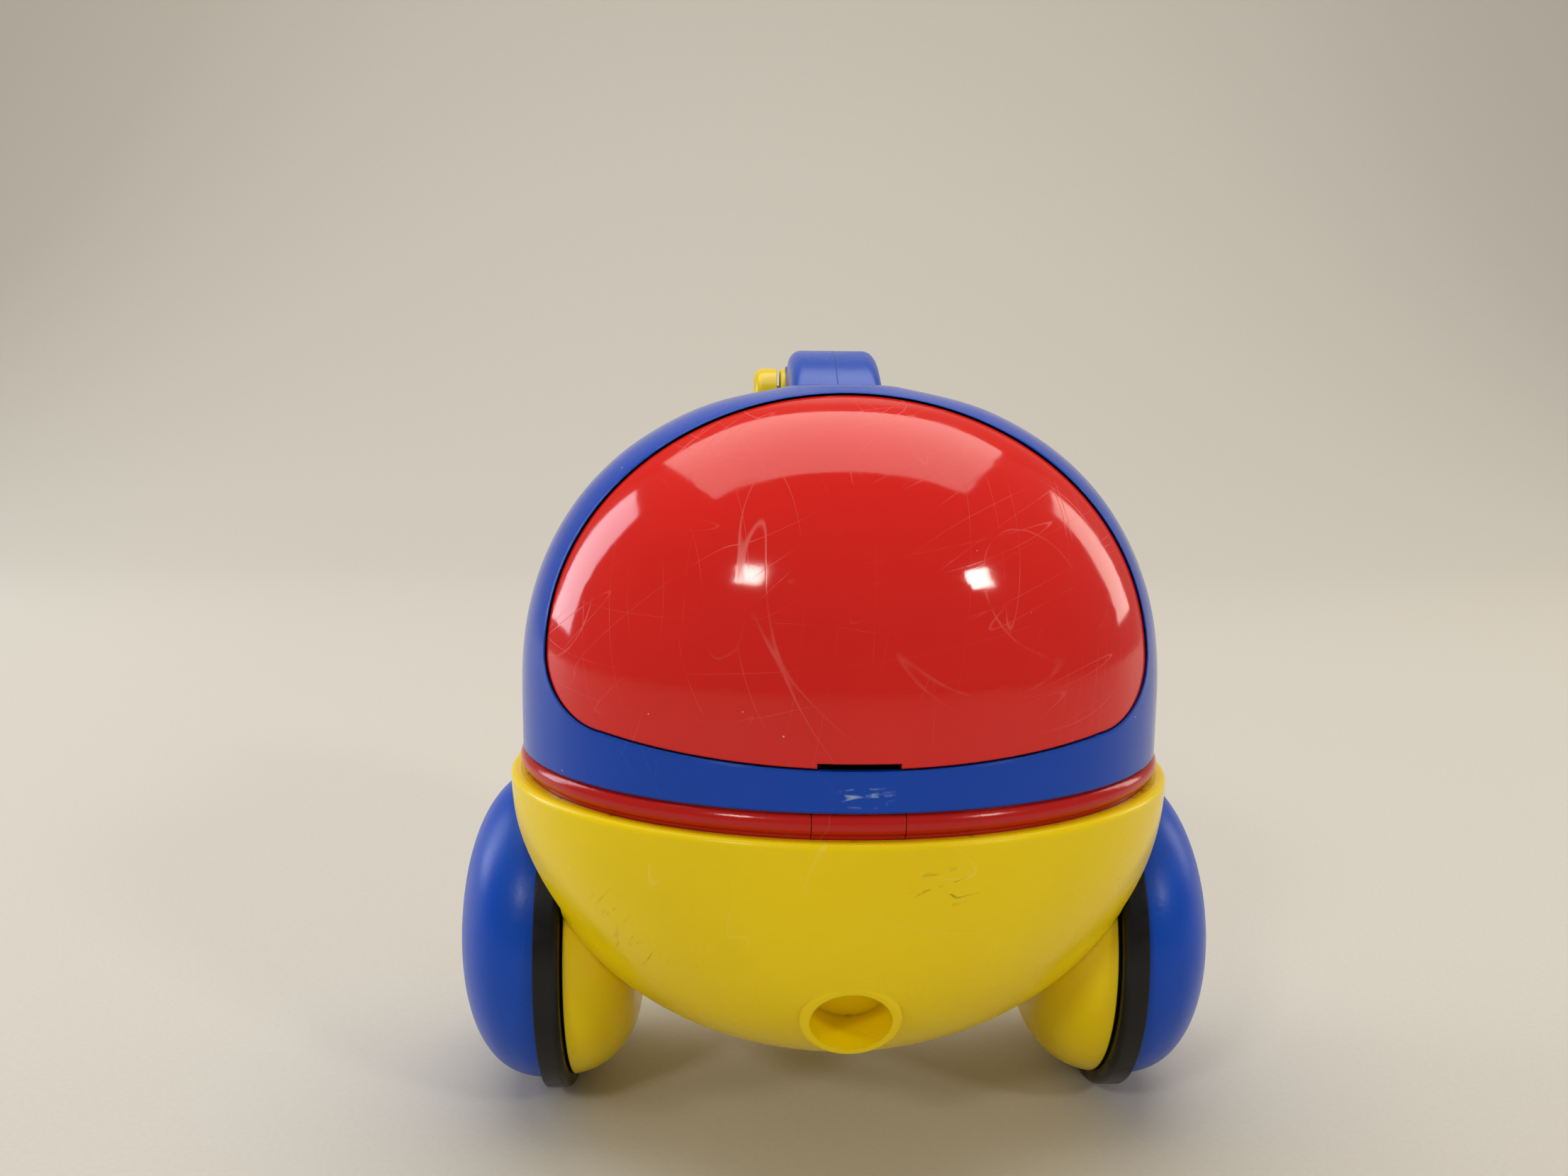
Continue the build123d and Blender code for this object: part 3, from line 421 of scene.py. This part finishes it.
# Floor and backdrop: a pale matt sheet, curved up far behind the toy
studio = {
    "width": 5.0, "front": -2.5, "back": 1.9, "bend": 0.9, "height": 3.2, "steps": 20,
    "colour": "#cbc7bf", "fibre": "#c1bdb4", "fibreSize": 1.5, "rough": 0.65,
}


def paleSheet():
    points = [(studio["front"], 0.0), (studio["back"] - studio["bend"], 0.0)]
    for step in range(1, studio["steps"] + 1):
        angle = math.pi / 2 * step / studio["steps"]
        points.append(
            (studio["back"] + studio["bend"] * (math.sin(angle) - 1), studio["bend"] * (1 - math.cos(angle)))
        )
    points.append((studio["back"], studio["height"]))
    half = studio["width"] / 2
    vertices = [(x, y, z) for y, z in points for x in (-half, half)]
    faces = [(2 * i, 2 * i + 1, 2 * i + 3, 2 * i + 2) for i in range(len(points) - 1)]
    mesh = bpy.data.meshes.new("backdrop")
    mesh.from_pydata(vertices, [], faces)
    mesh.shade_smooth()
    sheet = bpy.data.objects.new("backdrop", mesh)
    bpy.context.collection.objects.link(sheet)
    material, tree, place = startMaterial("matPaperPale")
    fibre = addNode(
        tree, "TexNoise", {"Scale": 1 / (studio["fibreSize"] * mm), "Detail": 4.0}, {"Vector": place}
    )
    paper = addNode(
        tree, "Mix",
        {"data_type": "RGBA", 6: linearColour(studio["colour"]), 7: linearColour(studio["fibre"])},
        {0: fibre.outputs[0]},
    )
    shader = addNode(tree, "BsdfPrincipled", {"Roughness": studio["rough"]}, {"Base Color": paper.outputs[2]})
    addNode(tree, "OutputMaterial", None, {"Surface": shader.outputs[0]})
    mesh.materials.append(material)


paleSheet()
print("backdrop made")

# Soft light: a broad panel overhead, two small ones high in front, and two tall ones at the sides,
# the left one stronger. All face the toy's middle.
middle = Vector((0, 0, 0.1))
panels = {
    "overhead": {"place": (0, 0.5, 2.2), "size": (3.0, 1.8), "watts": 44, "tint": "#fffaf2"},
    "ceilingLeft": {"place": (-1.03, -1.6, 1.37), "size": (0.34, 0.26), "watts": 9, "tint": "#fff8ee"},
    "ceilingRight": {"place": (1.45, -1.35, 1.23), "size": (0.3, 0.24), "watts": 8, "tint": "#fff8ee"},
    "wallLeft": {"place": (-1.5, 0.55, 0.7), "size": (0.5, 1.1), "watts": 10, "tint": "#eef3ff"},
    "wallRight": {"place": (1.6, 0.6, 0.7), "size": (0.4, 1.0), "watts": 5, "tint": "#fff4e8"},
}
for name, panel in panels.items():
    light = bpy.data.lights.new(name, "AREA")
    light.shape = "RECTANGLE"
    light.size, light.size_y = panel["size"]
    light.energy = panel["watts"]
    light.color = linearColour(panel["tint"])[:3]
    lamp = bpy.data.objects.new(name, light)
    lamp.location = panel["place"]
    lamp.rotation_euler = (middle - lamp.location).to_track_quat("-Z", "Y").to_euler()
    bpy.context.collection.objects.link(lamp)

roomLight = {"colour": "#e6e2da", "strength": 0.34}
world = bpy.data.worlds.new("roomLight")
world.use_nodes = True
room = next(n for n in world.node_tree.nodes if n.type == "BACKGROUND")
room.inputs["Color"].default_value = linearColour(roomLight["colour"])
room.inputs["Strength"].default_value = roomLight["strength"]
bpy.context.scene.world = world
print("lights:", len(panels))

# Camera: close in front of the nose, a little above the dome's middle, looking slightly down.
# Place and nearest are in mm, angles in degrees.
view = {
    "place": (-23.2, -332.8, 178.5), "down": 8.35, "turn": -1.64, "roll": -0.53, "lens": 29.3,
    "sensorWidth": 36, "nearest": 10,
}
cameraData = bpy.data.cameras.new("frontCamera")
cameraData.lens = view["lens"]
cameraData.sensor_width = view["sensorWidth"]
cameraData.clip_start = view["nearest"] * mm
camera = bpy.data.objects.new("frontCamera", cameraData)
camera.location = [v * mm for v in view["place"]]
camera.rotation_euler = (
    math.radians(90 - view["down"]), math.radians(view["roll"]), math.radians(view["turn"])
)
bpy.context.collection.objects.link(camera)
bpy.context.scene.camera = camera
bpy.context.scene.view_settings.view_transform = "Standard"  # keeps the plastics' full colour
print("camera set")
